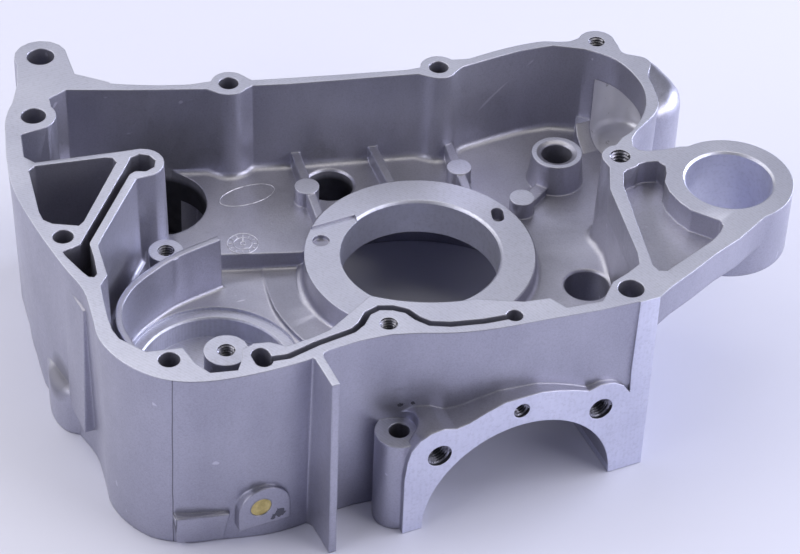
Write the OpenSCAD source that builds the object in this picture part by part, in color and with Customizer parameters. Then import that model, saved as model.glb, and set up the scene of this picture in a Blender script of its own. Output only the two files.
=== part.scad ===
/* [Case] */
// Height of the cover face above the split face
case_h = 70; // [66:1:76]
// Height of the main chamber floor above the split face
floor_h = 36; // [34:0.5:38]
// Height of the low floor beside the oil pump seat
low_floor_h = 30; // [28:0.5:32]
// Radius of the cast fillet between the chamber wall and its floor
floor_fillet = 2.5; // [1:0.5:3]
// Draft of the chamber wall from the cover face to the floor
chamber_draft = 0.8; // [0.2:0.1:1.2]
// Draft of the outer wall from the cover face to the split face
outer_draft = 1.4; // [0.4:0.1:2]

/* [Main bearing] */
// Diameter of the main bearing seat
bearing_d = 52; // [47:1:56]
// Height of the bearing ring's face above the split face
ring_h = 42; // [40:0.5:45]
// Outside diameter of the bearing ring
ring_d = 75; // [70:1:80]
// Length of the bearing seat
bearing_w = 13; // [11:0.5:15]
// Chamfer at the mouth of the bearing seat
bearing_chamfer = 0.8; // [0.4:0.1:1.2]

/* [Crank chamber] */
// Diameter of the crank chamber on the split side
crank_chamber_d = 112; // [104:1:114]
// Height of the crank chamber above the split face
crank_chamber_h = 25; // [20:0.5:26]
// Diameter of the relief around the bearing in the chamber roof
crank_relief_d = 68; // [60:1:74]
// Height of the hollows behind the crank chamber
rear_hollow_h = 31; // [26:0.5:32]
// Height of the sump hollow under the low floor
sump_h = 25; // [20:0.5:26]
// Thickness of the walls around the hollows on the split side
split_wall = 4.5; // [3.5:0.5:6]

/* [Cylinder face] */
// Distance from the crank axis to the cylinder face
cylinder_face_y = 76; // [75:0.5:80]
// Diameter of the cylinder spigot bore
spigot_d = 65; // [60:1:68]
// Spacing of the two cylinder studs in this half
stud_spacing = 55; // [52:0.5:58]
// Height of the studs above the split face
stud_h = 29.3; // [27:0.1:32]
// Diameter of the stud threads
stud_d = 8; // [6:0.5:9]
// Depth of the stud threads
stud_depth = 22; // [15:1:24]

/* [Fastening] */
// Diameter of the through holes for the case bolts
bolt_d = 6.6; // [6:0.1:7]
// Diameter of the dowel holes
dowel_d = 8.2; // [7:0.1:9]
// Tapping diameter of the small cover threads
thread_d = 5.4; // [4.5:0.1:6]
// Depth of the small cover threads
thread_depth = 11; // [8:1:14]

/* [Oil gallery] */
// Diameter of the plug in the oil gallery
plug_d = 6.7; // [5:0.1:9]
// Length of the plug
plug_len = 6; // [4:0.5:10]
// Height of the gallery above the split face
gallery_h = 14.7; // [13:0.1:17]
// Distance from the cylinder face back to the pad around the plug
pad_back = 13.5; // [12:0.5:15]
// Radius of the pad around the plug
pad_r = 8.4; // [7:0.1:11]

/* [Hanger and lug] */
// Distance from the crank axis to the hanger bore, sideways
hanger_x = 91.5; // [89:0.5:95]
// Diameter of the hanger bush bore
hanger_d = 28; // [24:1:32]
// Outside diameter of the hanger boss
hanger_boss_d = 41; // [38:1:44]
// Length of the hanger boss
hanger_len = 23; // [18:1:28]
// Thickness of the hanger arm
arm_t = 11.5; // [9:0.5:14]
// Floor thickness under the pocket of the hanger arm
arm_floor = 3; // [2:0.5:5]
// Diameter of the hole in the rear lug
lug_d = 9.2; // [8:0.1:11]
// Thickness of the rear lug
lug_t = 34; // [20:1:45]

/* [Oil pump seat] */
// Diameter of the oil pump recess
pump_d = 47.4; // [44:0.2:49]
// Depth of the oil pump recess below the low floor
pump_depth = 9; // [6:0.5:10]
// Height of the curved baffle wall above the split face
baffle_h = 50; // [44:1:56]
// Thickness of the curved baffle wall
baffle_t = 2; // [1.5:0.1:3]

/* [Hidden] */
$fn = 48;
cast_grey = "#a9a9b4";
eps = 0.01;

function arc(c, r, a0, a1, n) =
    [for (i = [0:n]) let (a = a0 + (a1 - a0) * i / n) c + r * [cos(a), sin(a)]];

// Smooth curve through hand-chosen points, without its last point
function curve(p, n = 3) =
    [for (i = [0:len(p) - 2])
        let (a = p[max(i - 1, 0)], b = p[i], c = p[i + 1], d = p[min(i + 2, len(p) - 1)])
        for (k = [0:n - 1])
            let (t = k / n)
            0.5 * (2 * b + (c - a) * t + (2 * a - 5 * b + 4 * c - d) * t * t
                   + (3 * b - a - 3 * c + d) * t * t * t)];

function side_normal(a, b) = let (d = (b - a) / norm(b - a)) [d[1], -d[0]];

// Moves every side of a counterclockwise outline inwards by d, with mitred corners
function inset(p, d) =
    [for (i = [0:len(p) - 1])
        let (
            a = p[(i + len(p) - 1) % len(p)],
            c = p[(i + 1) % len(p)],
            n1 = side_normal(a, p[i]),
            n2 = side_normal(p[i], c)
        )
        p[i] - d * (n1 + n2) / (1 + n1 * n2)];

// Outline with two round ends of the radius r, around the points a and b
function oval(a, b, r, n = 10) =
    let (t = atan2(b[1] - a[1], b[0] - a[0]))
    concat(arc(b, r, t - 90, t + 90, n), arc(a, r, t + 90, t + 270, n));

function backwards(p) = [for (i = [len(p) - 1:-1:0]) p[i]];

// Both sides of a line with the width w
function strip(p, w) =
    let (
        n = [for (i = [0:len(p) - 1])
            side_normal(p[max(i - 1, 0)], p[min(i + 1, len(p) - 1)])]
    )
    concat([for (i = [0:len(p) - 1]) p[i] + n[i] * w / 2],
           backwards([for (i = [0:len(p) - 1]) p[i] - n[i] * w / 2]));

function turn(a, b, c) = cross(b - a, c - a);

// True where the corner after the entry i of left can be cut off as a triangle
function is_ear(p, left, i) =
    let (
        n = len(left),
        a = left[i],
        b = left[(i + 1) % n],
        c = left[(i + 2) % n]
    )
    turn(p[a], p[b], p[c]) > 1e-6
    && len([for (q = left)
        if (q != a && q != b && q != c && turn(p[a], p[b], p[q]) > -1e-9
            && turn(p[b], p[c], p[q]) > -1e-9 && turn(p[c], p[a], p[q]) > -1e-9) q]) == 0;

// Splits the outline p into triangles, corner by corner
function triangles(p, left, i = 0) =
    let (n = len(left))
    n < 3 ? [] :
    i < n - 1 && !is_ear(p, left, i) ? triangles(p, left, i + 1) :
    concat([[left[i], left[(i + 1) % n], left[(i + 2) % n]]],
           triangles(p, [for (k = [0:n - 1]) if (k != (i + 1) % n) left[k]]));

// Solid through a stack of outlines that all have the same number of points, top first
module loft(layers, heights) {
    n = len(layers[0]);
    last = len(layers) - 1;
    all = [for (i = [0:n - 1]) i];
    polyhedron(
        points = [for (k = [0:last]) for (q = layers[k]) [q[0], q[1], heights[k]]],
        faces = concat(
            [for (t = triangles(layers[0], all)) [t[2], t[1], t[0]]],
            [for (t = triangles(layers[last], all)) [for (q = t) last * n + q]],
            [for (k = [0:last - 1]) for (i = [0:n - 1])
                each [[k * n + i, (k + 1) * n + (i + 1) % n, (k + 1) * n + i],
                      [k * n + i, k * n + (i + 1) % n, (k + 1) * n + (i + 1) % n]]]
        ),
        convexity = 10);
}

// Tapered form from top down to bottom: it narrows by draft, and ends in a round of the
// radius r. A negative draft and radius make it widen into a foot instead.
module tapered(path, top, bottom, draft, r, steps = 3) {
    angles = r == 0 ? [0] : [for (k = [0:steps]) k * 90 / steps];
    insets = concat([0], [for (a = angles) draft + r * (1 - cos(a))]);
    heights = concat([top], [for (a = angles) bottom + abs(r) * (1 - sin(a))]);
    loft([for (d = insets) inset(path, d)], heights);
}

// Plan of the casting, counterclockwise from the corner of the cylinder face
case_plan = concat(
    [[44.3, -cylinder_face_y], [49, -62], [54, -42], [58.5, -24], [61.5, -17.5]],
    arc([64.7, -10.2], 7, -65, 25, 5),
    curve([[72.5, -3.5], [76.5, 0], [85, 5], [89.5, 10], [92, 18], [93.5, 25],
           [96.5, 29], [97.7, 31.5], [97, 34.5], [94.5, 36.8], [92.2, 38.7], [91.5, 41],
           [92.3, 45]], 3),
    arc([86.3, 48.5], 6.2, -20, 140, 8),
    curve([[78, 52], [74, 53.2], [68, 55.6], [55, 56.4], [39, 55.3]], 4),
    arc([30.5, 55], 6.2, 20, 160, 8),
    [[20, 57.5], [0, 62.8], [-20, 68.3], [-30, 71.2]],
    arc([-37.5, 72.5], 6.1, 20, 150, 8),
    [[-50, 76.5], [-60, 80], [-70, 84.5], [-78, 89]],
    curve([[-84, 92], [-92, 94], [-100, 93], [-107, 88], [-112, 80], [-114.8, 71],
           [-118, 60], [-120.5, 45], [-120, 25], [-118, 5], [-116, -8], [-117.4, -20],
           [-118.9, -31], [-115.7, -43], [-108, -53.5], [-97, -59.3], [-82, -61.8],
           [-66, -62], [-58, -60.3]], 4),
    [[-58, -60.3], [-48, -60]],
    curve([[-38, -61], [-29, -64], [-20, -67.5], [-8, -70.3], [8, -72.3], [30, -75.3]], 3)
);

// Goes from 0 to 1 while v goes from a to b
function ramp(v, a, b) = min(1, max(0, (v - a) / (b - a)));

// The outer wall at the split face: drafted, and leaning in more at the left and the front
case_foot = [for (q = inset(case_plan, outer_draft))
    q + [q[0] < -105 ? 2.2 * ramp(q[1], 30, 44) * ramp(-q[1], -74, -60) : 0,
         2.5 * ramp(-q[1], 48, 58) * ramp(-q[0], 76, 94)]];

// Plan of the main chamber at the cover face
chamber_plan = concat(
    [[-108, -41], [-97.5, -43.3], [-96.5, -51], [-94, -56.5], [-86, -58.5], [-82.8, -54]],
    [[-81.5, -50.6], [-77.5, -49.4], [-73, -50.6], [-69, -54.2], [-60, -53.4], [-54.3, -52.3]],
    [[-46.5, -48]],
    arc([0, 0], 56.5, 229, 262, 8),
    [[0, -60.1], [5, -62.6], [13, -64], [15.5, -69.8], [27, -71.3], [34, -64.5]],
    [[40, -62.5], [45.5, -60], [47.5, -55], [50, -47], [55, -31], [59, -18]],
    arc([64.7, -10.2], 5.9, 195, 75, 6),
    curve([[70, -1.7], [76, 1], [84, 9], [88.5, 18], [89.5, 28], [87, 38.5], [79, 48]], 4),
    [[71.5, 52], [60, 53.4], [50, 53.1], [38, 52.4]],
    arc([30.5, 55], 6.1, 315, 215, 6),
    [[22.5, 54.2], [0, 59.8], [-20, 65], [-31, 68.4]],
    arc([-37.5, 72.5], 6.3, 310, 215, 6),
    [[-45.5, 72.2], [-60, 77.5], [-70, 81.3], [-88.5, 88.8], [-95, 86.5]],
    arc([-102.7, 79.3], 7.3, 20, -70, 6),
    [[-109.5, 71.5], [-112.3, 60], [-110, 56]],
    [[-81, 51]],
    arc([-78.7, 43.5], 7.2, 90, -75, 9),
    [[-83, 36.5], [-102, 14], [-105, 10], [-106, 3], [-107, -4], [-110.6, -8]],
    curve([[-112.6, -18], [-114, -28], [-112.6, -36]], 2)
);

// Plan of the closed triangular pocket in the left corner
corner_pocket_plan = [
    [-114.6, 25.2], [-107.3, 21.2], [-105.2, 22.6], [-85.9, 46.6], [-86.3, 49.2],
    [-88.6, 50.3], [-110.6, 54.4], [-113, 53], [-116.6, 32], [-116.6, 28]
];

// Plan of the slot beside it, from the round head to the small pocket at its foot
breather_slot_plan = concat(
    [[-107, 12], [-84.2, 39.3]],
    arc([-78.7, 43.4], 4.6, -135, 165, 7),
    [[-108, 15], [-110, 12.6], [-116, 11.5], [-115.8, 9], [-113.5, 0], [-112.5, -2.8],
     [-111, -3.6], [-109.6, -2.4], [-108, 5]]
);

// Middle line of the oil groove in the front flange
oil_groove_line = [
    [-76, -57.5], [-70, -58.4], [-60, -56.3], [-48, -55], [-44.5, -53.2], [-41, -49.6],
    [-37, -48.6], [-33, -50.2], [-29.5, -53.2], [-28, -57.2], [-25.5, -60.8], [-20, -63.5],
    [-10, -66], [-1, -67.1]
];

// Plan of the pocket in the hanger arm
arm_pocket_plan = [
    [49, -62], [49.6, -65], [52, -66], [60, -63], [72, -58.5], [76, -56], [78.5, -53.5],
    [79, -51], [76, -47], [73, -43], [71.5, -38], [71, -32], [72, -27], [74.5, -23.5],
    [76, -20], [75, -17], [71, -15.8], [66, -16], [62, -18], [58.8, -24], [54, -42]
];

// Plan of the rear lug
lug_plan = concat(
    [[-74, 84], [-74, 87.5], [-83, 96]],
    arc([-90.3, 109.2], 8.8, 5, 190, 8),
    [[-102.5, 97], [-107, 88], [-100, 80]]
);

// Plan of the hanger arm
arm_plan = concat(
    [[42, -76], [44.3, -76], [50, -73], [60, -69], [70, -64.5], [80, -61], [90, -56]],
    [[hanger_x + 6.5, -52], [hanger_x + 14.5, -34], [hanger_x + 6.5, -18]],
    [[85, -13], [80, -12.5], [74, -11], [66, -6], [60, -12], [54, -24], [46, -62]]
);

// Edge of the low floor, around the pump seat
low_floor_plan = concat(
    [[-100, -42], [-90, -45], [-76, -47], [-60, -50], [-50, -45], [-40, -36]],
    curve([[-40, -29], [-45.3, -17], [-47.5, -8], [-48.3, 2], [-47.4, 10], [-45.6, 18],
           [-43.8, 25]], 3),
    [[-43.8, 25], [-58.5, 30], [-80, 37], [-101, 12], [-105, 3], [-109, -10], [-110, -34]]
);

// Edge of the ledge around the left half of the bearing ring, above the low floor
ledge_plan = concat(
    [[-60, -50], [-50, -47], [-38, -44], [-20, -52], [-8, -54], [-6, -30], [-25, -20]],
    [[-30, 0], [-30, 20], [-58.5, 30]]
);

// Curved baffle wall beside the pump seat
baffle_line = [
    [-61, 22], [-76.3, 19.2], [-85.8, 15.4], [-94.5, 10.4], [-101, 3.3], [-104.2, -5.5],
    [-104.2, -14]
];

// Rib in line with the gallery, across the front wall
cover_rib_plan = [
    [-58.2, -58], [-60.7, -62.5], [-60.8, -75], [-63.2, -75], [-63.3, -62.5], [-66, -58]
];

bolt_holes = [[-37.7, 72.5], [30.5, 55], [-113.5, 18], [64.7, -10.2], [-103, -46.7]];
dowel_holes = [[-102.7, 79.3], [37.7, -69.3]];
cover_threads = [[86.3, 48.5], [-37, -56.3]];
lug_centre = [-90.3, 109.2];
hanger_centre = [hanger_x, -34];
pump_centre = [-76.5, -13];
oil_feed = [61.2, 24.8];
oil_feed_h = 47;
pedestal = [-84.5, -45];
baffle_post = [-78.6, 23];
clamp_bolt = [-37, -66.5];
clamp_boss_r = 7.5;
clamp_boss_h = 35;
gallery_x = -80.4;
pad_face_y = cylinder_face_y - pad_back;
ledge_h = low_floor_h + 1.2;
ledge_slope = 2.5;
ring_foot = 2;
rib_t = 3;
rib_h = ring_h - 0.4;
nose_ends = [[91.6, 36], [92.2, 28]];
nose_r = 10.5;
nose_wall = 4;
nose_h = 59;
nose_rim_h = 42;
pad_centre = [-79.2, 13.8];
foot_plan = [
    [-103.8, -49], [-103.8, -52.9], [-100.9, -54.9], [-97, -56], [-93.4, -56.6],
    [-88.5, -57], [-88.5, -49]
];

module prism(plan, bottom, top) {
    translate([0, 0, bottom]) linear_extrude(top - bottom) polygon(plan);
}

// Straight form up from bottom, with a rounded edge of the radius r around its top
module domed(plan, top, bottom, r, steps = 4) {
    angles = [for (k = [0:steps]) k * 90 / steps];
    loft(concat([for (a = angles) inset(plan, r * (1 - sin(a)))], [plan]),
         concat([for (a = angles) top - r * (1 - cos(a))], [bottom]));
}

module post(c, r, bottom, top) {
    translate([c[0], c[1], bottom]) cylinder(h = top - bottom, r = r);
}

// Hole with a chamfered mouth at the height top
module chamfered_hole(c, r, bottom, top, chamfer) {
    post(c, r, bottom, top + 1);
    translate([c[0], c[1], top - chamfer])
        cylinder(h = chamfer + 1, r1 = r, r2 = r + chamfer + 1);
}

module outer_walls() {
    loft([case_plan, case_foot], [case_h, 0]);
    domed(oval(nose_ends[0], nose_ends[1], nose_r + nose_wall, 14),
          nose_h + nose_wall + 1, 0, 6);
    prism(lug_plan, case_h - lug_t, case_h);
    post(clamp_bolt, clamp_boss_r, 0, clamp_boss_h);
    prism(cover_rib_plan, 0, case_h);
    cylinder_face_block();
    gallery_pad();
    foot_block();
    left_wall_details();
}

// Thick block behind the cylinder face, following the spigot and the two stud bosses
module cylinder_face_block() {
    stud = stud_spacing / 2;
    translate([0, -48, 0])
        rotate([90, 0, 0])
        linear_extrude(cylinder_face_y - 48)
        polygon(concat(
            [[-39, 0], [44.3, 0], [44.3, case_h], [37.5, case_h], [37, 42], [37.3, 34]],
            arc([stud, stud_h], 10.4, 20, 118, 4),
            [[17.6, 40.5], [12.3, 42.3], [6, 43.8], [-6, 43.8], [-12, 41.9], [-18, 39.4]],
            arc([-stud, stud_h], 10.7, 60, 176, 5),
            [[-39, 23]]
        ));
}

module gallery_pad() {
    translate([pad_centre[0], -50, 0])
        rotate([90, 0, 0])
        linear_extrude(pad_face_y - 50)
        polygon(concat([[-pad_r, 7], [pad_r, 7]],
                       arc([0, pad_centre[1]], pad_r, 0, 180, 16)));
}

// Foot on the front corner, narrower at the split face than where it meets the wall
module foot_block() {
    loft([[for (q = foot_plan) q + [-1.6, -1.6]], foot_plan, foot_plan], [13, 6, 0]);
}

module left_wall_details() {
    loft([[[-113, -8.5], [-113, 6], [-117.6, 6], [-116.5, -8.5]],
          [[-113, -8.5], [-113, 6], [-118.2, 6], [-118.2, -8.5]]], [62, 12]);
    domed(curve([[-113, 28], [-118.3, 26.5], [-120.6, 20], [-121.4, 14], [-120.6, 8.5],
                 [-118, 4.5], [-113, 4], [-113, 28]], 3), 18, 0, 3);
}

module main_chamber() {
    tapered(chamber_plan, case_h + eps, floor_h, chamber_draft, floor_fillet);
}

// Deep pocket in the nose, going under the cover face and a little into the floor
module nose_pocket() {
    tapered(oval(nose_ends[0], nose_ends[1], nose_r, 14), nose_h, floor_h - 2, 0, 4, 4);
}

// Ring around the main bearing up to top, with a cast foot of the radius f on the height h
module ring_on(h, f, top) {
    r = ring_d / 2;
    rotate_extrude($fn = 96)
        polygon(concat(
            [[0, low_floor_h - 3], [0, top], [r - 0.4, top], [r, top - 0.4]],
            [for (a = [90:-22.5:0]) [r + f * (1 - sin(a)), h + f * (1 - cos(a))]],
            [[r + f, low_floor_h - 3]]
        ));
}

module rib(a, b, top, w) {
    prism(strip([a, b], w), floor_h - 2, top);
}

module floor_details() {
    ring_on(ledge_h, 2.5, ring_h);
    rib([-17, 66], [-23, 28], rib_h, rib_t);
    rib([8.2, 59], [6, 35], rib_h, rib_t);
    rib([33.2, 52], [28, 24], rib_h, rib_t);
    rib([42.9, 13.1], [60, 24], floor_h + 2.5, 4.5);
    for (c = [[-20.9, 45.1], [30.4, 35.6], [42.9, 13.1]])
        post(c, 4.1, floor_h - 2, ring_h);
    translate([oil_feed[0], oil_feed[1], floor_h - 2])
        cylinder(h = oil_feed_h - floor_h + 2, r1 = 9.7, r2 = 8.4);
    nose_rim();
}

// Part of the wall around the nose pocket that stands in the chamber
module nose_rim() {
    intersection() {
        prism(oval(nose_ends[0], nose_ends[1], nose_r + nose_wall + 1, 14),
              floor_h - 2, nose_rim_h);
        translate([72, 0, 0])
            rotate([90, 0, 90])
            linear_extrude(16)
            polygon([[31, 30], [47, 30], [47, nose_rim_h], [42, nose_rim_h],
                     [33, floor_h], [31, floor_h]]);
    }
}

module pump_side_details() {
    baffle();
    post(baffle_post, 5.5, low_floor_h - 2, baffle_h - 0.5);
    post(pedestal, 6.7, low_floor_h - 2, case_h - 4);
    prism(strip([pedestal, [-78, -55]], 5), low_floor_h - 2, case_h - 9);
}

module baffle() {
    tapered(strip(curve(concat(baffle_line, [[-104, -27]]), 4), baffle_t),
            baffle_h, low_floor_h - 0.1, -0.2, -1.6);
}

module hanger_arm() {
    difference() {
        union() {
            prism(arm_plan, case_h - arm_t, case_h);
            post(hanger_centre, hanger_boss_d / 2, case_h - hanger_len, case_h);
        }
        prism(arm_pocket_plan, case_h - arm_t + arm_floor, case_h + 1);
    }
}

// The steps in the floor: left of them, around the pump seat, it is lower
module low_floor() {
    translate([0, 0, ledge_h])
        rotate([-ledge_slope, 0, 0])
        tapered(ledge_plan, 10, 0, 0.8, 1.2);
    tapered(low_floor_plan, floor_h + 4, low_floor_h, 0.8, 1.2);
}

module pump_seat() {
    post(pump_centre, pump_d / 2 + 3.8, low_floor_h - 1.2, low_floor_h + 3);
    chamfered_hole(pump_centre, pump_d / 2, low_floor_h - pump_depth, low_floor_h - 1.2, 0.6);
}

module bearing_bore() {
    r = bearing_d / 2;
    post([0, 0], crank_relief_d / 2, crank_chamber_h - 1, ring_h - bearing_w);
    post([0, 0], r, crank_chamber_h, ring_h + 1);
    translate([0, 0, ring_h - bearing_chamfer])
        cylinder(h = bearing_chamfer + 1, r1 = r, r2 = r + bearing_chamfer + 1, $fn = 96);
}

// The left part of the ring's face is machined one step lower
module ring_face_step() {
    intersection() {
        difference() {
            post([0, 0], ring_d / 2 + 1, ring_h - 1, ring_h + 1);
            post([0, 0], 20, ring_h - 2, ring_h + 2);
        }
        prism([[-12, 25.5], [-27.5, 25], [-45, 24], [-45, -45], [-14, -45], [-20, -20]],
              ring_h - 2, ring_h + 2);
    }
}

module floor_holes() {
    post([-68, 62], 17, 10, floor_h + 5);
    chamfered_hole([-10.6, 49.9], 7.9, 10, floor_h, 0.8);
    chamfered_hole([46.3, -28.5], 7.25, 5, floor_h, 0.6);
    chamfered_hole(oil_feed, 5.15, 20, oil_feed_h, 0.7);
    prism(oval([31, 6.5], [32, 9.5], 2, 6), ring_h - 5, ring_h + 1);
    post([-27, 18.5], 2.8, ring_h - 2.5, ring_h + 1);
}

module cover_face_holes() {
    for (c = bolt_holes) post(c, bolt_d / 2, -1, case_h + 1);
    for (c = dowel_holes) post(c, dowel_d / 2, case_h - 12, case_h + 1);
    for (c = cover_threads) post(c, thread_d / 2, case_h - thread_depth, case_h + 1);
    post(pedestal, thread_d / 2, case_h - 4 - thread_depth, case_h + 1);
    post(baffle_post, thread_d / 2, baffle_h - 0.5 - thread_depth, baffle_h + 1);
    post(clamp_bolt, bolt_d / 2, -1, clamp_boss_h + 1);
    post(clamp_bolt, 5.6, clamp_boss_h, clamp_boss_h + 12);
    post(lug_centre, lug_d / 2, case_h - lug_t - 1, case_h + 1);
    chamfered_hole(hanger_centre, hanger_d / 2, case_h - hanger_len - 1, case_h, 0.7);
}

module cover_face_pockets() {
    prism(corner_pocket_plan, low_floor_h, case_h + 1);
    prism(breather_slot_plan, low_floor_h + 4, case_h + 1);
    prism(strip(oil_groove_line, 2.3), case_h - 20, case_h + 1);
    prism(oval([-77.5, -54.5], [-77.5, -57.5], 2.8), case_h - 24, case_h + 1);
    post([-0.5, -67.1], 2.6, case_h - 22, case_h + 1);
}

module cylinder_side() {
    translate([0, -cylinder_face_y - 1, 0])
        rotate([-90, 0, 0]) cylinder(h = cylinder_face_y - 20, d = spigot_d, $fn = 96);
    for (x = [-1, 1])
        translate([x * stud_spacing / 2, -cylinder_face_y - 1, stud_h])
            rotate([-90, 0, 0]) cylinder(h = stud_depth + 1, d = stud_d);
    translate([-0.3, -cylinder_face_y - 1, 38.4])
        rotate([-90, 0, 0]) cylinder(h = 12, d = thread_d);
    translate([gallery_x, -pad_face_y - 1, gallery_h])
        rotate([-90, 0, 0]) cylinder(h = plug_len + 8, r = plug_d / 2 + 0.05);
}

// Hollows on the split side: the crank chamber, the space behind it and the sump
module split_side() {
    r = crank_chamber_d / 2;
    post([0, 0], r, -1, crank_chamber_h - 10);
    translate([0, 0, crank_chamber_h - 10]) cylinder(h = 10, r1 = r, r2 = r - 8, $fn = 96);
    translate([0, 0, -1]) linear_extrude(rear_hollow_h + 1) difference() {
        intersection() {
            offset(delta = 1 - split_wall) polygon(case_foot);
            translate([-46, 10]) square([160, 90]);
        }
        circle(crank_chamber_d / 2 + split_wall, $fn = 96);
        split_side_bosses();
    }
    translate([0, 0, -1]) linear_extrude(sump_h + 1) difference() {
        intersection() {
            offset(delta = 1 - split_wall) polygon(case_foot);
            translate([-130, -58]) square([80, 160]);
        }
        circle(crank_chamber_d / 2 + split_wall, $fn = 96);
        split_side_bosses();
        translate(pump_centre) circle(pump_d / 2 + 3);
    }
}

module split_side_bosses() {
    for (c = bolt_holes) translate(c) circle(7.5);
    translate(dowel_holes[0]) circle(8);
    translate(oil_feed) circle(9.5);
    translate([gallery_x, -60]) circle(9);
}

module crankcase() {
    color(cast_grey)
        difference() {
            union() {
                difference() {
                    union() {
                        difference() {
                            outer_walls();
                            main_chamber();
                        }
                        ring_on(floor_h, ring_foot, floor_h + ring_foot + 1);
                    }
                    low_floor();
                }
                hanger_arm();
                floor_details();
                pump_side_details();
            }
            nose_pocket();
            pump_seat();
            bearing_bore();
            ring_face_step();
            floor_holes();
            cover_face_holes();
            cover_face_pockets();
            cylinder_side();
            split_side();
        }
}

module oil_gallery_plug() {
    color("#c8b45a")
        translate([gallery_x, 0.3 - pad_face_y, gallery_h])
        rotate([-90, 0, 0]) cylinder(h = plug_len, d = plug_d);
}

crankcase();
oil_gallery_plug();
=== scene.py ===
# %% [markdown]
# # A cast crankcase half
# The object is one half of a small engine's crankcase: a thin-walled aluminium casting whose
# joint faces, bearing seat and bolt holes were machined after casting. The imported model
# already has its true shape, so this script gives it its skin: the grainy cast surface, the
# bright machined faces, the threads in its holes and a photographer's light.

import math

import bmesh
import bpy
from mathutils import Matrix, Vector


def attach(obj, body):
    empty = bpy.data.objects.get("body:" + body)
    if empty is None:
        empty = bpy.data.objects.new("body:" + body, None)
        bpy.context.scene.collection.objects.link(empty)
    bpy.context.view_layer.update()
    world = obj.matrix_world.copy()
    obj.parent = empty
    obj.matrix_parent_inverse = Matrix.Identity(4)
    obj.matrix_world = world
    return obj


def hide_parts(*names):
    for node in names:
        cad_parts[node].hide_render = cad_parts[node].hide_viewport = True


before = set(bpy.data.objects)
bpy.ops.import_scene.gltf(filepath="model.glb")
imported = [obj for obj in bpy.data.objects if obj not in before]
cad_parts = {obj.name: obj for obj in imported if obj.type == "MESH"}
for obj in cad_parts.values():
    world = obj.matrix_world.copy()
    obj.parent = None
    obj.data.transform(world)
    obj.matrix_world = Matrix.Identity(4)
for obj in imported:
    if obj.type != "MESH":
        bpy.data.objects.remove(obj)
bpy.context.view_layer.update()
MM = 0.001

# %% [markdown]
# ## The camera
# The photograph was taken with a long lens from the front left, looking down at about 40
# degrees. The camera is turned from three angles: round the object, above the horizon, and
# a small roll, because the photographer's camera wasn't quite level.

# %% Camera
AZIMUTH, ELEVATION, ROLL = -25.62, 40.64, 2.38
PLACE = Vector((-0.30205, -0.61537, 0.61948))


def camera_axes(azimuth, elevation, roll):
    a, e, r = math.radians(azimuth), math.radians(elevation), math.radians(roll)
    back = Vector((math.sin(a) * math.cos(e), -math.cos(a) * math.cos(e), math.sin(e)))
    right = Vector((math.cos(a), math.sin(a), 0))
    up = back.cross(right)
    return (
        math.cos(r) * right + math.sin(r) * up,
        -math.sin(r) * right + math.cos(r) * up,
        back,
    )


def make_camera():
    data = bpy.data.cameras.new("camera")
    data.lens, data.sensor_width = 125.03, 36
    data.clip_start, data.clip_end = 0.05, 20
    cam = bpy.data.objects.new("camera", data)
    bpy.context.scene.collection.objects.link(cam)
    right, up, back = camera_axes(AZIMUTH, ELEVATION, ROLL)
    turn = Matrix((right, up, back)).transposed()
    cam.matrix_world = Matrix.Translation(PLACE) @ turn.to_4x4()
    bpy.context.scene.camera = cam
    return cam


camera = make_camera()
print("camera", [round(v, 3) for v in camera.location], "lens", camera.data.lens)

# %% [markdown]
# ## Small helpers for node materials
# A material in Blender is a graph. These helpers add a node, set its sockets and link it in
# one line, so that each finish below reads as a list of what it is made of.

# %% Node helpers
def new_material(name):
    mat = bpy.data.materials.new(name)
    mat.use_nodes = True
    mat.node_tree.nodes.clear()
    return mat


def add(mat, kind, at=(0, 0), **values):
    node = mat.node_tree.nodes.new(kind)
    node.location = at
    for key, value in values.items():
        if hasattr(node, key):
            setattr(node, key, value)
        else:
            node.inputs[key.replace("_", " ")].default_value = value
    return node


def link(mat, source, target):
    mat.node_tree.links.new(source, target)


def ramp(mat, source, stops, at=(0, 0)):
    node = add(mat, "ShaderNodeValToRGB", at)
    line = node.color_ramp
    while len(line.elements) < len(stops):
        line.elements.new(0.5)
    for element, (place, colour) in zip(line.elements, stops):
        element.position = place
        element.color = (*colour, 1) if len(colour) == 3 else colour
    link(mat, source, node.inputs[0])
    return node.outputs[0]


def noise(mat, coords, scale, detail=2.0, rough=0.5, at=(0, 0), stretch=None):
    if stretch is not None:
        mapping = add(mat, "ShaderNodeMapping", (at[0] - 180, at[1]))
        mapping.inputs["Scale"].default_value = stretch
        link(mat, coords, mapping.inputs["Vector"])
        coords = mapping.outputs[0]
    node = add(mat, "ShaderNodeTexNoise", at)
    node.inputs["Scale"].default_value = scale
    node.inputs["Detail"].default_value = detail
    node.inputs["Roughness"].default_value = rough
    link(mat, coords, node.inputs["Vector"])
    return node.outputs["Fac"]


def mix_colour(mat, factor, a, b, mode="MIX", at=(0, 0)):
    node = add(mat, "ShaderNodeMix", at, data_type="RGBA", blend_type=mode)
    for socket, value in ((node.inputs[0], factor), (node.inputs[6], a), (node.inputs[7], b)):
        if isinstance(value, (int, float, tuple)):
            socket.default_value = value
        else:
            link(mat, value, socket)
    return node.outputs[2]


def math_node(mat, operation, a, b=0.0, at=(0, 0)):
    node = add(mat, "ShaderNodeMath", at, operation=operation)
    for socket, value in ((node.inputs[0], a), (node.inputs[1], b)):
        if isinstance(value, (int, float)):
            socket.default_value = value
        else:
            link(mat, value, socket)
    return node.outputs[0]


def bump(mat, height, strength, distance, under=None, at=(0, 0)):
    node = add(mat, "ShaderNodeBump", at)
    node.inputs["Strength"].default_value = strength
    node.inputs["Distance"].default_value = distance
    link(mat, height, node.inputs["Height"])
    if under is not None:
        link(mat, under, node.inputs["Normal"])
    return node.outputs[0]


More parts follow.
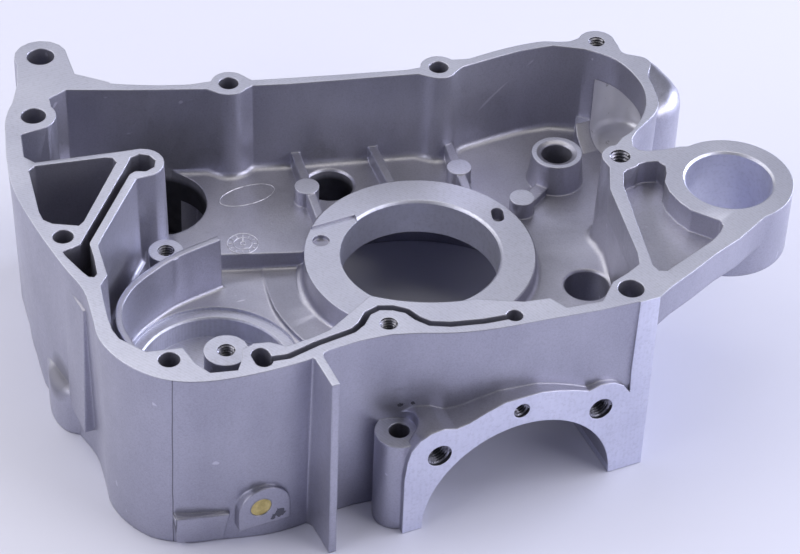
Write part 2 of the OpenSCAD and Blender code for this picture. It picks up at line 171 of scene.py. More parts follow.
def metal(mat, colour, roughness, normal, metallic):
    shader = add(mat, "ShaderNodeBsdfPrincipled", (600, 0))
    shader.inputs["Metallic"].default_value = metallic
    link(mat, colour, shader.inputs["Base Color"])
    link(mat, roughness, shader.inputs["Roughness"])
    link(mat, normal, shader.inputs["Normal"])
    out = add(mat, "ShaderNodeOutputMaterial", (900, 0))
    link(mat, shader.outputs[0], out.inputs[0])


# %% [markdown]
# ## Scratches and the parting line
# The casting has been handled: a few fine scratches run over its outside, and where two
# parts of the mould met, a thin dark line runs down the front corner. Both are masks from
# 0 to 1 in the casting's own coordinates. A scratch is a noise that is stretched until it is
# a hair, and kept only at its peaks.

# %% Masks for scratches and the parting line
PARTING_X, PARTING_WIDTH, PARTING_WAVER = -0.1054, 0.00015, 0.0008
FRONT_Y = -0.045


def scratches(mat, where, turn, stretch, peak, at=(0, 0)):
    mapping = add(mat, "ShaderNodeMapping", (at[0] - 400, at[1]))
    mapping.inputs["Rotation"].default_value = [math.radians(a) for a in turn]
    link(mat, where, mapping.inputs["Vector"])
    hairs = noise(mat, mapping.outputs[0], 260, 1.5, 0.4, at, stretch=stretch)
    return ramp(mat, hairs, [(peak, (0,) * 3), (peak + 0.03, (1,) * 3)], (at[0] + 200, at[1]))


def parting_line(mat, where, at=(0, 0)):
    parts = add(mat, "ShaderNodeSeparateXYZ", at)
    link(mat, where, parts.inputs[0])
    waver = noise(mat, where, 60, 2, 0.5, (at[0], at[1] - 150))
    waver = math_node(mat, "MULTIPLY", waver, PARTING_WAVER, (at[0] + 200, at[1] - 150))
    off = math_node(mat, "ADD", parts.outputs["X"], waver, (at[0] + 200, at[1]))
    middle = PARTING_X + PARTING_WAVER / 2
    off = math_node(mat, "SUBTRACT", off, middle, (at[0] + 350, at[1]))
    off = math_node(mat, "ABSOLUTE", off, 0, (at[0] + 500, at[1]))
    close = math_node(mat, "LESS_THAN", off, PARTING_WIDTH, (at[0] + 650, at[1]))
    front = math_node(mat, "LESS_THAN", parts.outputs["Y"], FRONT_Y, (at[0] + 650, at[1] - 150))
    return math_node(mat, "MULTIPLY", close, front, (at[0] + 800, at[1]))


# %% [markdown]
# ## Pits and a spot of painted shade
# A few spots on the outside aren't sound: a torn hollow beside the plug, a pit on the ridge
# beside the long rib, and rough spots where the block of the cylinder meets the wall. Each is
# a ball-shaped mask with a noisy edge about a point on the skin, painted dark for torn metal and
# for painted shade in the hollow. The top of the boss on the left wall is rougher than the rest of
# the skin and its colour is darkened as painted shade, so its mask fades out softly instead.

# %% Masks for pits and the spot of painted shade
PITS = [
    ((-74.2, -62.5, 10.4), 2.0),
    ((-76.4, -62.5, 9.2), 1.2),
    ((-64.4, -60.5, 38), 0.9),
    ((-34.5, -62, 40.5), 1.3),
    ((-31, -62.5, 41), 0.9),
    ((-45.5, -60.3, 41), 0.8),
]
PIT_RAGGEDNESS = 0.0022
SHADED_SPOT_PLACE, SHADED_SPOT_REACH = (-119.6, 13, 18), 8.5


def distance_to(mat, where, place, at):
    far = add(mat, "ShaderNodeVectorMath", at, operation="DISTANCE")
    link(mat, where, far.inputs[0])
    far.inputs[1].default_value = [v * MM for v in place]
    return far.outputs["Value"]


def rough_shaded_spot(mat, where, at=(0, 0)):
    far = distance_to(mat, where, SHADED_SPOT_PLACE, at)
    share = math_node(mat, "DIVIDE", far, SHADED_SPOT_REACH * MM, (at[0] + 150, at[1]))
    return ramp(mat, share, [(0.55, (1,) * 3), (1, (0,) * 3)], (at[0] + 300, at[1]))


def pits(mat, where, at=(0, 0)):
    rag = noise(mat, where, 900, 2, 0.6, (at[0], at[1] + 150))
    rag = math_node(mat, "MULTIPLY", rag, PIT_RAGGEDNESS, (at[0] + 150, at[1] + 150))
    total = None
    for k, (place, radius) in enumerate(PITS):
        row = at[1] - 150 * k
        far = distance_to(mat, where, place, (at[0], row))
        edge = math_node(mat, "ADD", far, rag, (at[0] + 150, row))
        inside = math_node(mat, "LESS_THAN", edge, (radius + 0.8) * MM, (at[0] + 300, row))
        if total is None:
            total = inside
        else:
            total = math_node(mat, "MAXIMUM", total, inside, (at[0] + 450, row))
    return total


# %% [markdown]
# ## The cast skin
# Die-cast aluminium is grey and a little blotchy, with a fine grain and soft flow marks.
# Several noises of different sizes mix the colour and the roughness, and the finest of them
# is also the bump. A small bevel in the shader rounds every sharp edge, so that edges catch
# the light as they do on a casting.

# %% Cast skin
def cast_skin():
    mat = new_material("cast_skin")
    where = add(mat, "ShaderNodeTexCoord", (-1600, 0)).outputs["Object"]
    blotch = noise(mat, where, 24, 4, 0.55, (-1000, 500))
    flow = noise(mat, where, 70, 3, 0.5, (-1000, 260), stretch=(1, 1, 0.3))
    grain = noise(mat, where, 1700, 2, 0.6, (-1000, 0))
    fine = noise(mat, where, 560, 3, 0.6, (-1000, -220))
    base = ramp(mat, blotch, [(0.3, (0.37, 0.37, 0.46)), (0.7, (0.44, 0.44, 0.53))], (-700, 500))
    flows = ramp(mat, flow, [(0.35, (0.90, 0.90, 0.91)), (0.62, (1.04,) * 3)], (-700, 260))
    colour = mix_colour(mat, 0.7, base, flows, "MULTIPLY", (-400, 400))
    speck = ramp(mat, grain, [(0.3, (0.88,) * 3), (0.5, (1,) * 3), (0.75, (1.08,) * 3)], (-700, 0))
    colour = mix_colour(mat, 0.8, colour, speck, "MULTIPLY", (-200, 400))
    line = parting_line(mat, where, (-1000, -900))
    colour = mix_colour(mat, line, colour, (0.17, 0.17, 0.21, 1), "MIX", (0, 400))
    holes = pits(mat, where, (-1000, -1300))
    # The pits are painted dark: partly torn metal, partly painted shade in hollows that are only a
    # bump.
    colour = mix_colour(mat, holes, colour, (0.13, 0.13, 0.16, 1), "MIX", (100, 600))
    hairs = scratches(mat, where, (20, 35, 10), (0.08, 2.4, 1.0), 0.765, (-1000, -500))
    colour = mix_colour(mat, hairs, colour, (0.56, 0.56, 0.66, 1), "MIX", (200, 400))
    rough = ramp(mat, fine, [(0.3, (0.44,) * 3), (0.7, (0.33,) * 3)], (-700, -220))
    spot_shade = rough_shaded_spot(mat, where, (-1000, -1700))
    # Painted shade: the boss top's colour is darkened, and its roughness is raised.
    colour = mix_colour(mat, spot_shade, colour, (0.27, 0.27, 0.33, 1), "MIX", (400, 400))
    rough = mix_colour(mat, spot_shade, rough, (0.75, 0.75, 0.75, 1), "MIX", (400, 100))
    edge = add(mat, "ShaderNodeBevel", (-200, -600), samples=6)
    edge.inputs["Radius"].default_value = 0.0009
    height = math_node(mat, "ADD", grain, fine, (-700, -400))
    normal = bump(mat, height, 0.34, 0.0001, edge.outputs[0], (100, -300))
    normal = bump(mat, hairs, 0.35, 0.00006, normal, (300, -300))
    sunk = math_node(mat, "MULTIPLY", holes, -1, (200, -600))
    normal = bump(mat, sunk, 0.9, 0.0006, normal, (400, -300))
    metal(mat, colour, rough, normal, 0.82)
    return mat


# %% [markdown]
# ## The machined faces
# A milling cutter left the joint faces flatter, brighter and smoother than the skin, with
# very fine arcs in them. The bearing seat and the bush bore were turned, so their lines run
# round the hole. Rings of sine waves about a centre make both: a far centre gives the long
# arcs of the cutter, and the hole's own axis gives turning lines.

# %% Machined faces
def machined_face(
    name="machined_face", centre=(-0.35, -0.2, 0), lines=330, contrast=0.035, bright=1.0
):
    mat = new_material(name)
    where = add(mat, "ShaderNodeTexCoord", (-1400, 0)).outputs["Object"]
    mapping = add(mat, "ShaderNodeMapping", (-1200, -200))
    mapping.inputs["Location"].default_value = [-c for c in centre]
    link(mat, where, mapping.inputs["Vector"])
    arcs = add(mat, "ShaderNodeTexWave", (-900, -200), wave_type="RINGS", rings_direction="Z")
    arcs.inputs["Scale"].default_value = lines
    arcs.inputs["Distortion"].default_value = 1.2
    arcs.inputs["Detail"].default_value = 2
    arcs.inputs["Detail Scale"].default_value = 0.4
    link(mat, mapping.outputs[0], arcs.inputs["Vector"])
    stain = noise(mat, where, 40, 4, 0.6, (-900, 300))
    fine = noise(mat, where, 900, 2, 0.6, (-900, 60))
    base = ramp(mat, stain, [(0.3, (0.50, 0.51, 0.63)), (0.7, (0.59, 0.60, 0.72))], (-500, 300))
    light, dark = bright * (1 + contrast), bright * (1 - contrast)
    streak = ramp(mat, arcs.outputs["Fac"], [(0, (dark,) * 3), (1, (light,) * 3)], (-500, -100))
    colour = mix_colour(mat, 0.9, base, streak, "MULTIPLY", (-200, 200))
    grit = ramp(mat, fine, [(0.32, (0.88,) * 3), (0.5, (1,) * 3)], (-500, 60))
    colour = mix_colour(mat, 0.7, colour, grit, "MULTIPLY", (0, 200))
    rough = ramp(mat, fine, [(0.3, (0.48,) * 3), (0.7, (0.39,) * 3)], (-200, -100))
    edge = add(mat, "ShaderNodeBevel", (-200, -600), samples=6)
    edge.inputs["Radius"].default_value = 0.0004
    height = math_node(mat, "ADD", arcs.outputs["Fac"], fine, (-500, -350))
    normal = bump(mat, height, 0.14, 0.00003, edge.outputs[0], (100, -400))
    metal(mat, colour, rough, normal, 0.80)
    return mat


# %% [markdown]
# ## The walls of tapped holes
# Between the ridges of a thread it is dark, because little light gets that deep. The walls of
# the tapped holes are painted near black as painted shade, with a rough finish, and the ridges
# that are added below stand out from it.

# %% Dark wall
def tapped_wall_painted_shade():
    mat = new_material("tapped_wall_painted_shade")
    where = add(mat, "ShaderNodeTexCoord", (-1000, 0)).outputs["Object"]
    shade_mottle = noise(mat, where, 500, 3, 0.6, (-800, 100))
    # Painted shade: the walls of the tapped holes are near black.
    base = ramp(mat, shade_mottle, [(0.3, (0.03, 0.03, 0.04)), (0.7, (0.09, 0.09, 0.11))], (-500, 200))
    rough = ramp(mat, shade_mottle, [(0.3, (0.6,) * 3), (0.7, (0.4,) * 3)], (-500, -100))
    normal = bump(mat, shade_mottle, 0.3, 0.00005, None, (100, -400))
    metal(mat, base, rough, normal, 0.6)
    return mat


# %% [markdown]
# ## Painted shade in the deep holes and painted light in the nose pocket
# The holes in the floor lead into the hollows below. Their walls are painted near black as painted
# shade: they are bright only at the rim. The pocket in the nose is the opposite. Its colour is
# the brightest of any cast surface, as painted light. A ramp on the height makes the painted shade
# start just below the rim.

# %% Deep holes
def deep_hole_painted_shade():
    mat = new_material("deep_hole_painted_shade")
    where = add(mat, "ShaderNodeTexCoord", (-1200, 0)).outputs["Object"]
    parts = add(mat, "ShaderNodeSeparateXYZ", (-1000, 200))
    link(mat, where, parts.inputs[0])
    height = math_node(mat, "MULTIPLY", parts.outputs["Z"], 20, (-800, 200))
    # Painted shade: the wall is near black below the rim and pale only at it.
    dark, pale = (0.06, 0.06, 0.08), (0.38, 0.38, 0.46)
    shade = ramp(mat, height, [(0.64, dark), (0.685, pale)], (-600, 200))
    hole_mottle = noise(mat, where, 400, 3, 0.6, (-800, -100))
    tone = ramp(mat, hole_mottle, [(0.3, (0.8,) * 3), (0.7, (1.1,) * 3)], (-600, -100))
    colour = mix_colour(mat, 0.8, shade, tone, "MULTIPLY", (-300, 100))
    rough = ramp(mat, hole_mottle, [(0.3, (0.6,) * 3), (0.7, (0.45,) * 3)], (-300, -200))
    normal = bump(mat, hole_mottle, 0.3, 0.00008, None, (100, -400))
    metal(mat, colour, rough, normal, 0.7)
    return mat


# %% Nose pocket with painted light
def nose_pocket_painted_light():
    mat = new_material("nose_pocket_painted_light")
    where = add(mat, "ShaderNodeTexCoord", (-1200, 0)).outputs["Object"]
    sweep = noise(mat, where, 60, 3, 0.55, (-800, 200), stretch=(1, 1, 0.5))
    specks = noise(mat, where, 380, 3, 0.6, (-800, -100))
    # Painted light: a pale colour that makes the pocket brighter than any other cast surface.
    base = ramp(mat, sweep, [(0.3, (0.72, 0.72, 0.78)), (0.7, (0.92, 0.92, 0.98))], (-500, 200))
    dark = ramp(mat, specks, [(0.27, (0.4,) * 3), (0.36, (1,) * 3)], (-500, -100))
    colour = mix_colour(mat, 0.8, base, dark, "MULTIPLY", (-200, 100))
    rough = ramp(mat, specks, [(0.3, (0.45,) * 3), (0.7, (0.3,) * 3)], (-200, -200))
    normal = bump(mat, specks, 0.3, 0.00008, None, (100, -400))
    metal(mat, colour, rough, normal, 0.45)
    return mat


# %% [markdown]
# ## The casting's own copy
# The loaded casting is loose triangles, each flat. A copy with its doubles merged can be
# shaded smooth wherever two faces meet at a shallow angle, and its faces can be sorted by
# place and direction into cast and machined ones.

# %% Copy the casting and merge it
SMOOTH = math.radians(32)
WELD = 0.00001


def only(obj):
    for other in bpy.context.selected_objects:
        other.select_set(False)
    obj.select_set(True)
    bpy.context.view_layer.objects.active = obj


def weld(obj, dissolve=False):
    only(obj)
    bpy.ops.object.mode_set(mode="EDIT")
    bpy.ops.mesh.select_all(action="SELECT")
    bpy.ops.mesh.remove_doubles(threshold=WELD)
    if dissolve:
        bpy.ops.mesh.dissolve_degenerate(threshold=WELD)
    bpy.ops.object.mode_set(mode="OBJECT")
    bpy.ops.object.shade_smooth_by_angle(angle=SMOOTH)


def merged_copy(node, name):
    only(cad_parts[node])
    bpy.ops.object.duplicate()
    copy = bpy.context.active_object
    copy.name = copy.data.name = name
    for key in list(copy.keys()):
        if key.startswith("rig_"):
            del copy[key]
    copy.parent = None
    only(copy)
    bpy.ops.mesh.customdata_custom_splitnormals_clear()
    weld(copy)
    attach(copy, "root")
    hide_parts(node)
    return copy


casting = merged_copy("crankcase", "casting")
print("casting", len(casting.data.vertices), "points,", len(casting.data.polygons), "faces")

# %% [markdown]
# ## Round the corners that a mould can't make sharp
# On the real part every inner corner is a soft curve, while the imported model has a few
# straight steps there. The Bevel operator rounds chosen edges: the mouth of the oil feed,
# the long top edges of the floor's ribs, the edge of the step in the floor, and the upright
# edges in the pockets and slots. Edges are chosen by their ends and by the angle between
# their two faces. Welding the mesh again takes away the slivers that the bevels leave.

# %% Choose edges and bevel them
SLOT_HEAD, OIL_FEED = (-78.7, 43.4), (61.2, 24.8)
COVER_FACE, FEED_TOP, RIB_TOP, FLOOR_TOP = 70, 47, 41.6, 36


def away(x, y, centre):
    return math.hypot(x - centre[0], y - centre[1])


def both_at(a, b, height):
    return abs(a.z - height) < 0.05 and abs(b.z - height) < 0.05


def round_edges(obj, choose, offset, segments):
    only(obj)
    bpy.ops.object.mode_set(mode="EDIT")
    bpy.ops.mesh.select_mode(type="EDGE")
    bpy.ops.mesh.select_all(action="DESELECT")
    mesh = bmesh.from_edit_mesh(obj.data)
    chosen = 0
    for edge in mesh.edges:
        if len(edge.link_faces) != 2:
            continue
        angle = math.degrees(edge.calc_face_angle(0))
        a, b = (point.co / MM for point in edge.verts)
        if choose(a, b, angle, [face.normal for face in edge.link_faces]):
            edge.select_set(True)
            chosen += 1
    bmesh.update_edit_mesh(obj.data)
    if chosen:
        bpy.ops.mesh.bevel(offset=offset * MM, segments=segments, clamp_overlap=True)
    bpy.ops.object.mode_set(mode="OBJECT")
    print("rounded", chosen, "edges by", offset, "mm")


def wall_corner(a, b, angle, normals):
    upright = abs(a.z - b.z) > 6 and math.hypot(a.x - b.x, a.y - b.y) < 1.2
    walls = all(abs(n.z) < 0.2 for n in normals)
    return upright and walls and 16 < angle < 110 and max(a.z, b.z) > COVER_FACE - 0.1


def inner_upright(a, b, angle, normals):
    slot_head = away(a.x, a.y, SLOT_HEAD) < 5.5
    left = -112 < a.x < -80 and 10 < a.y < 82
    arm = 49 < a.x < 80 and -67 < a.y < -15
    return wall_corner(a, b, angle, normals) and (slot_head or left or arm)


def feed_mouth(a, b, angle, normals):
    return both_at(a, b, FEED_TOP) and angle > 20 and away(a.x, a.y, OIL_FEED) < 6.5


def rib_top(a, b, angle, normals):
    return both_at(a, b, RIB_TOP) and angle > 60 and (a - b).length > 5


def step_edge(a, b, angle, normals):
    return both_at(a, b, FLOOR_TOP) and angle > 40 and -70 < a.x < -36 and 12 < a.y < 42


round_edges(casting, feed_mouth, 1.1, 2)
round_edges(casting, rib_top, 1.1, 3)
round_edges(casting, step_edge, 0.9, 3)
round_edges(casting, inner_upright, 1.0, 3)
weld(casting, dissolve=True)

# %% Sort the faces by how they were made
CAST, MILLED, TURNED, BUSHED, TAPPED, DEEP, POCKET_PAINTED_LIGHT, GASKET = range(8)
casting.data.materials.clear()
finishes = (
    cast_skin(),
    machined_face(),
    machined_face("turned_bearing_seat", (0, 0, 0), 420, 0.10),
    machined_face("turned_bush_bore", (0.0915, -0.034, 0), 420, 0.06),
    tapped_wall_painted_shade(),
    deep_hole_painted_shade(),
    nose_pocket_painted_light(),
    # The joint face of the cylinder gets the machined finish made brighter, as painted light.
    machined_face("gasket_face_painted_light", (0, -0.1, 0.4), 260, 0.012, bright=1.26),
)
for finish in finishes:
    casting.data.materials.append(finish)


def near(value, *targets, tolerance=0.06):
    return any(abs(value / MM - t) < tolerance for t in targets)


# Each hole is its two coordinates across its axis and its radius
UPRIGHT_HOLES = [
    (-84.5, -45, 2.7),
    (-78.6, 23, 2.7),
    (86.3, 48.5, 2.7),
    (-37, -56.3, 2.7),
    (64.7, -10.2, 3.3),
]
LEVEL_HOLES = [(-0.3, 38.4, 2.7), (-27.5, 29.3, 4), (27.5, 29.3, 4)]
FLOOR_HOLES = [(-68, 62, 17), (-10.6, 49.9, 7.9)]
MILLED_HEIGHTS = (70, 66, 49.5, 47, 42, 41, 35)
CYLINDER_FACE_Y = -76
HANGER, PUMP = (91.5, -34), (-76.5, -13)


def in_a_hole(u, v, holes):
    return any(math.hypot(u - a, v - b) < r + 0.02 for a, b, r in holes)


def in_nose_pocket(x, y, z):
    along = min(max((36 - y) / 8, 0), 1)
    aside = math.hypot(x - 91.6 - 0.6 * along, y - 36 + 8 * along)
    return aside < 10.6 and 33.9 < z < 59.1


def in_tapped_hole(x, y, z):
    upright, level = in_a_hole(x, y, UPRIGHT_HOLES), in_a_hole(x, z, LEVEL_HOLES)
    return (upright and z > 38) or (level and y < -53)


def in_pump_seat(x, y, z, normal):
    return away(x, y, PUMP) < 27.6 and (20.5 < z < 29 or z < 30.1 and normal.z < 0.9)


def finish_of(face):
    centre, normal = face.center, face.normal
    x, y, z = centre / MM
    if in_tapped_hole(x, y, z):
        return TAPPED
    if in_nose_pocket(x, y, z):
        return POCKET_PAINTED_LIGHT
    if in_a_hole(x, y, FLOOR_HOLES) and z < 35:
        return DEEP
    if normal.z > 0.99 and near(centre.z, *MILLED_HEIGHTS):
        return MILLED
    if normal.y < -0.99 and near(centre.y, CYLINDER_FACE_Y):
        return GASKET
    if 28 < z < 42.1 and math.hypot(x, y) < 27.5:
        return TURNED
    if away(x, y, HANGER) < 15 and z > 47.1:
        return BUSHED
    if in_pump_seat(x, y, z, normal):
        return MILLED
    if abs(normal.z) < 0.1 and math.hypot(x, z) < 33 and y < -50:
        return TURNED
    return CAST


counts = [0] * len(finishes)
for face in casting.data.polygons:
    face.material_index = finish_of(face)
    counts[face.material_index] += 1
print("faces cast, milled, turned, bushed, tapped, deep, scooped, gasket:", counts)

# %% [markdown]
# ## The foot on the front corner
# The foot of the case stands out of the wall as a small block. It is a cube whose corners are
# moved to their places, with softened edges, and its back is buried in the wall.

# %% Foot block
FOOT_TOP = [(-105.4, -50.5), (-105.8, -55.9), (-89.4, -59.9), (-88, -55.5)]
FOOT_BOTTOM = [(-104.6, -50.5), (-105, -54.6), (-91.2, -58.2), (-90, -54.5)]


def make_foot(bottom, low_plan, top, high_plan, edge):
    bpy.ops.object.select_all(action="DESELECT")
    bpy.ops.mesh.primitive_cube_add(size=2)
    foot = bpy.context.active_object
    foot.name = foot.data.name = "foot_block"
    corner = {(-1, 1): 0, (-1, -1): 1, (1, -1): 2, (1, 1): 3}
    for point in foot.data.vertices:
        plan, height = (high_plan, top) if point.co.z > 0 else (low_plan, bottom)
        x, y = plan[corner[round(point.co.x), round(point.co.y)]]
        point.co = Vector((x, y, height)) * MM
    bpy.ops.object.mode_set(mode="EDIT")
    bpy.ops.mesh.select_all(action="SELECT")
    bpy.ops.mesh.bevel(offset=edge * MM, segments=3)
    bpy.ops.object.mode_set(mode="OBJECT")
    bpy.ops.object.shade_smooth_by_angle(angle=math.radians(50))
    foot.data.materials.append(finishes[CAST])
    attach(foot, "root")


make_foot(1, FOOT_BOTTOM, 12.8, FOOT_TOP, 0.6)

# %% [markdown]
# ## The threads
# The blind holes for small screws and studs are tapped: a cutter left a spiral ridge in each
# of them. A screw thread is the easiest spiral in Blender: a small triangle, which is the
# ridge's cross-section, stands beside the axis, and the Screw modifier carries it round and
# up. The triangle's long side lies just inside the wall of the hole, so no gap shows.

# %% One spiral ridge
def thread(name, mouth, depth, root, tip, pitch, along_y=False):
    bpy.ops.object.select_all(action="DESELECT")
    bpy.ops.mesh.primitive_circle_add(vertices=3, radius=1, rotation=(math.pi / 2, 0, 0))
    ridge = bpy.context.active_object
    ridge.name = ridge.data.name = name
    bpy.ops.object.transform_apply(rotation=True)
    corners = [(root, -0.36 * pitch), (tip, 0), (root, 0.36 * pitch)]
    for point, (across, up) in zip(ridge.data.vertices, corners):
        point.co = Vector((across, 0, up)) * MM
    turns = int(depth / pitch) - 1
    screw = ridge.modifiers.new("spiral", "SCREW")
    screw.screw_offset = -pitch * MM
    screw.iterations = turns
    screw.steps = screw.render_steps = 28
    bpy.ops.object.modifier_apply(modifier="spiral")
    bpy.ops.object.mode_set(mode="EDIT")
    bpy.ops.mesh.select_all(action="SELECT")
    bpy.ops.mesh.remove_doubles(threshold=0.000001)
    bpy.ops.mesh.select_all(action="DESELECT")
    bpy.ops.mesh.select_mode(type="EDGE")
    bpy.ops.mesh.select_non_manifold()
    bpy.ops.mesh.edge_face_add()
    bpy.ops.mesh.select_all(action="SELECT")
    bpy.ops.mesh.normals_make_consistent(inside=False)
    bpy.ops.object.mode_set(mode="OBJECT")
    ridge.location = Vector(mouth) * MM
    if along_y:
        ridge.rotation_euler = (math.pi / 2, 0, 0)
    bpy.ops.object.transform_apply(location=True, rotation=True)
    bpy.ops.object.shade_smooth_by_angle(angle=math.radians(40))
    return ridge


# %% [markdown]
# ## Every tapped hole
# Four small cover screws, the bolt beside the arm, the two big studs of the cylinder and the
# small hole between them have threads: eight in all. Each ridge starts half a turn below its
# mouth. They all have the same finish, so they are joined into one piece.

# %% Cut the threads
def join(parts, name):
    bpy.ops.object.select_all(action="DESELECT")
    for part in parts:
        part.select_set(True)
    bpy.context.view_layer.objects.active = parts[0]
    bpy.ops.object.join()
    whole = bpy.context.active_object
    whole.name = whole.data.name = name
    whole.data.materials.clear()
    return whole


SMALL = dict(depth=11, root=2.73, tip=2.25, pitch=1.0)
STUD = dict(depth=21, root=4.03, tip=3.45, pitch=1.0)
ridges = [
    thread("thread_pedestal", (-84.5, -45, 65.4), **SMALL),
    thread("thread_strainer", (-78.6, 23, 48.9), **SMALL),
    thread("thread_nose", (86.3, 48.5, 69.4), **SMALL),
    thread("thread_front", (-37, -56.3, 69.4), **SMALL),
    thread("thread_arm", (64.7, -10.2, 69.2), 16, 3.33, 2.85, 1.25),
    thread("thread_face", (-0.3, -75.4, 38.4), 11, 2.73, 2.25, 1.0, along_y=True),
    thread("thread_stud_left", (-27.5, -75.3, 29.3), along_y=True, **STUD),
    thread("thread_stud_right", (27.5, -75.3, 29.3), along_y=True, **STUD),
]
threads = join(ridges, "threads")
print("threads", len(threads.data.vertices), "points,", len(threads.data.polygons), "faces")

# %% [markdown]
# ## The finish of a cut thread
# A tap leaves bright flanks with torn, darker spots between them. The ridges get a colour far
# darker than the machined faces, as painted shade of the hole they sit in, and darker and rougher
# in torn patches.

# %% Cut thread
def cut_thread():
    mat = new_material("cut_thread")
    where = add(mat, "ShaderNodeTexCoord", (-1200, 0)).outputs["Object"]
    torn = noise(mat, where, 900, 3, 0.6, (-800, 200))
    # Partly painted shade: the ridges are far darker than the machined faces.
    base = ramp(mat, torn, [(0.35, (0.10, 0.10, 0.13)), (0.6, (0.32, 0.32, 0.39))], (-400, 200))
    rough = ramp(mat, torn, [(0.3, (0.45,) * 3), (0.7, (0.24,) * 3)], (-400, -100))
    normal = bump(mat, torn, 0.25, 0.00004, None, (100, -400))
    metal(mat, base, rough, normal, 0.85)
    return mat


threads.data.materials.append(cut_thread())
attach(threads, "root")

# %% [markdown]
# ## Raised marks on the floor
# A foundry casts a small dial into such a part to show when it was made, with a pointer and
# tick marks. A plain oval stands beside it. Both are thin raised lines on the floor: a torus,
# pressed flat, is such a line, and the ticks are small bars with rounded edges.

# %% A flat ring and a tick
TUBE, RISE = 0.05, 0.22


def raised_ring(name, centre, radii, wide, turn=0.0):
    bpy.ops.object.select_all(action="DESELECT")
    bpy.ops.mesh.primitive_torus_add(
        major_segments=64, minor_segments=10, major_radius=1, minor_radius=TUBE
    )
    ring = bpy.context.active_object
    ring.name = ring.data.name = name
    for point in ring.data.vertices:
        flat = Vector((point.co.x, point.co.y))
        out = flat.normalized()
        spread = (flat.length - 1) / TUBE * wide / 2
        height = point.co.z / TUBE * RISE
        x, y = out.x * (radii[0] + spread), out.y * (radii[1] + spread)
        point.co = Vector((x, y, height)) * MM
    ring.rotation_euler = (0, 0, math.radians(turn))
    ring.location = Vector(centre) * MM
    bpy.ops.object.transform_apply(location=True, rotation=True)
    bpy.ops.object.shade_smooth()
    return ring


def tick(name, centre, reach, angle, long, wide):
    a = math.radians(angle)
    bpy.ops.object.select_all(action="DESELECT")
    bpy.ops.mesh.primitive_cube_add(size=1)
    bar = bpy.context.active_object
    bar.name = bar.data.name = name
    bar.scale = (long * MM, wide * MM, 0.4 * MM)
    bpy.ops.object.transform_apply(scale=True)
    bpy.ops.object.mode_set(mode="EDIT")
    bpy.ops.mesh.select_all(action="SELECT")
    bpy.ops.mesh.bevel(offset=0.00008, segments=2)
    bpy.ops.object.mode_set(mode="OBJECT")
    bar.rotation_euler = (0, 0, a)
    bar.location = (Vector(centre) + reach * Vector((math.cos(a), math.sin(a), 0))) * MM
    bpy.ops.object.transform_apply(location=True, rotation=True)
    return bar


# %% Finish of the raised lines, with painted highlight
def raised_line_painted_highlight():
    mat = new_material("raised_line_painted_highlight")
    where = add(mat, "ShaderNodeTexCoord", (-1000, 0)).outputs["Object"]
    line_mottle = noise(mat, where, 420, 3, 0.6, (-800, 100))
    # Painted highlight: the lines are paler than the skin, as if their edges caught the light.
    base = ramp(mat, line_mottle, [(0.35, (0.40, 0.40, 0.48)), (0.6, (0.74, 0.74, 0.84))], (-500, 200))
    rough = ramp(mat, line_mottle, [(0.3, (0.5,) * 3), (0.7, (0.35,) * 3)], (-500, -100))
    normal = bump(mat, line_mottle, 0.3, 0.00005, None, (100, -400))
    metal(mat, base, rough, normal, 0.7)
    return mat


# %% The dial and the oval
DIAL = (-48.9, 32.0, 36)
marks = [
    raised_ring("dial_rim", DIAL, (5.1, 5.1), 0.35),
    raised_ring("dial_inner", DIAL, (3.0, 3.0), 0.3),
    raised_ring("dial_hub", DIAL, (0.9, 0.9), 0.35),
    raised_ring("plain_oval", (-38.3, 54.8, 36), (9.8, 4.7), 0.35, 3),
]
marks += [tick("dial_tick", DIAL, 4.05, 30 * k + 8, 1.1, 0.35) for k in range(12)]
marks.append(tick("dial_pointer", DIAL, 1.9, 68, 1.8, 0.5))
cast_marks = join(marks, "cast_marks")
cast_marks.data.materials.append(raised_line_painted_highlight())
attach(cast_marks, "root")
print("cast marks", len(cast_marks.data.polygons), "faces")

# %% [markdown]
# ## The brass plug
# A short brass plug closes the oil gallery at the foot of the front wall. It is dull and
# warm, with blotches of tarnish and fine scratches.

# %% Brass
def brass():
    mat = new_material("old_brass")
    where = add(mat, "ShaderNodeTexCoord", (-1200, 0)).outputs["Object"]
    tarnish = noise(mat, where, 320, 4, 0.6, (-800, 200))
    scratch = noise(mat, where, 900, 2, 0.5, (-600, -100), stretch=(1.6, 1, 0.12))
    base = ramp(mat, tarnish, [(0.3, (0.42, 0.33, 0.12)), (0.7, (0.74, 0.62, 0.28))], (-400, 200))
    rough = ramp(mat, scratch, [(0.3, (0.5,) * 3), (0.7, (0.3,) * 3)], (-200, -100))
    normal = bump(mat, scratch, 0.5, 0.0001, None, (100, -400))
    metal(mat, base, rough, normal, 0.85)
    return mat


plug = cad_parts["oil_gallery_plug"]
plug.data.materials.clear()
plug.data.materials.append(brass())

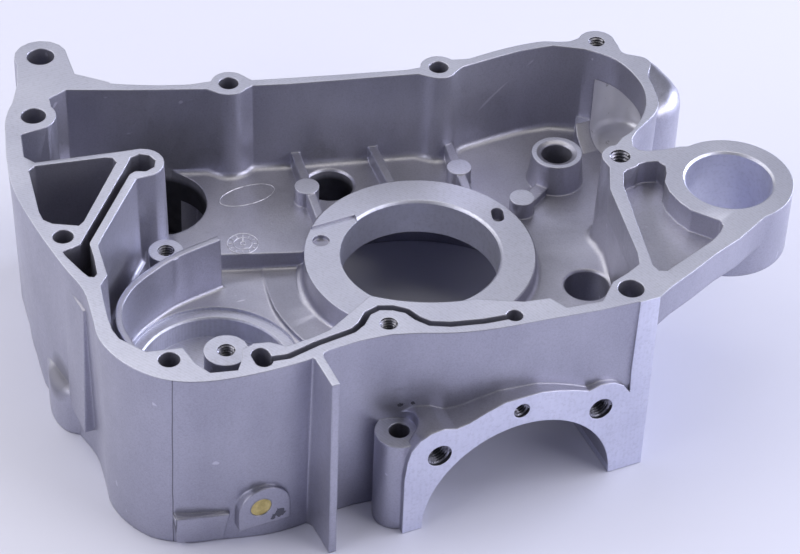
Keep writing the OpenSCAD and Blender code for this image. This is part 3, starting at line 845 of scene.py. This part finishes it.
# %% [markdown]
# ## Floor and light
# The casting stands on a pale sheet that runs out of sight. The shadows in the photograph
# show soft boxes on both sides. Six soft lamps stand for them: the two strongest are at the
# right, the next is behind at the left, and weaker ones are at the left, above and behind.
# The blue cast of the picture comes from the sheet and from the low lamp at the right.

# %% Floor
def make_floor():
    bpy.ops.object.select_all(action="DESELECT")
    bpy.ops.mesh.primitive_plane_add(size=6, location=(0, 0, -0.0002))
    floor = bpy.context.active_object
    floor.name = "floor"
    mat = new_material("pale_sheet")
    shader = add(mat, "ShaderNodeBsdfPrincipled", (200, 0))
    shader.inputs["Base Color"].default_value = (0.64, 0.65, 0.79, 1)
    shader.inputs["Roughness"].default_value = 0.6
    out = add(mat, "ShaderNodeOutputMaterial", (500, 0))
    link(mat, shader.outputs[0], out.inputs[0])
    floor.data.materials.append(mat)


make_floor()


# %% Lamps and room
AIM = Vector((0, 0, 0.03))


def lamp(name, place, size, power, colour):
    data = bpy.data.lights.new(name, "AREA")
    data.shape, data.size, data.size_y = "RECTANGLE", size[0], size[1]
    data.energy, data.color = power, colour
    obj = bpy.data.objects.new(name, data)
    bpy.context.scene.collection.objects.link(obj)
    turn = (AIM - Vector(place)).to_track_quat("-Z", "Y").to_matrix().to_4x4()
    obj.matrix_world = Matrix.Translation(place) @ turn


lamp("top", (0.1, 0.1, 1.2), (1.4, 0.9), 5.6, (1, 0.96, 0.8))
lamp("behind", (0.15, 0.95, 1.35), (1.3, 0.9), 4, (0.86, 0.88, 1))
lamp("right_front", (0.9, -0.8, 0.7), (1.1, 0.8), 11.5, (0.96, 0.95, 1))
lamp("right_low", (1.2, 0, 0.35), (0.9, 0.5), 16.5, (0.80, 0.84, 1))
lamp("left_behind", (-0.8, 0.8, 0.7), (1.5, 1.1), 10, (1, 0.98, 0.9))
lamp("left", (-1.1, -0.1, 0.6), (0.9, 0.7), 6.2, (0.95, 0.94, 1))

world = bpy.data.worlds.new("room")
bpy.context.scene.world = world
world.use_nodes = True
background = world.node_tree.nodes["Background"]
background.inputs[0].default_value = (0.9, 0.92, 1.0, 1)
background.inputs[1].default_value = 0.08
bpy.context.scene.view_settings.view_transform = "Standard"
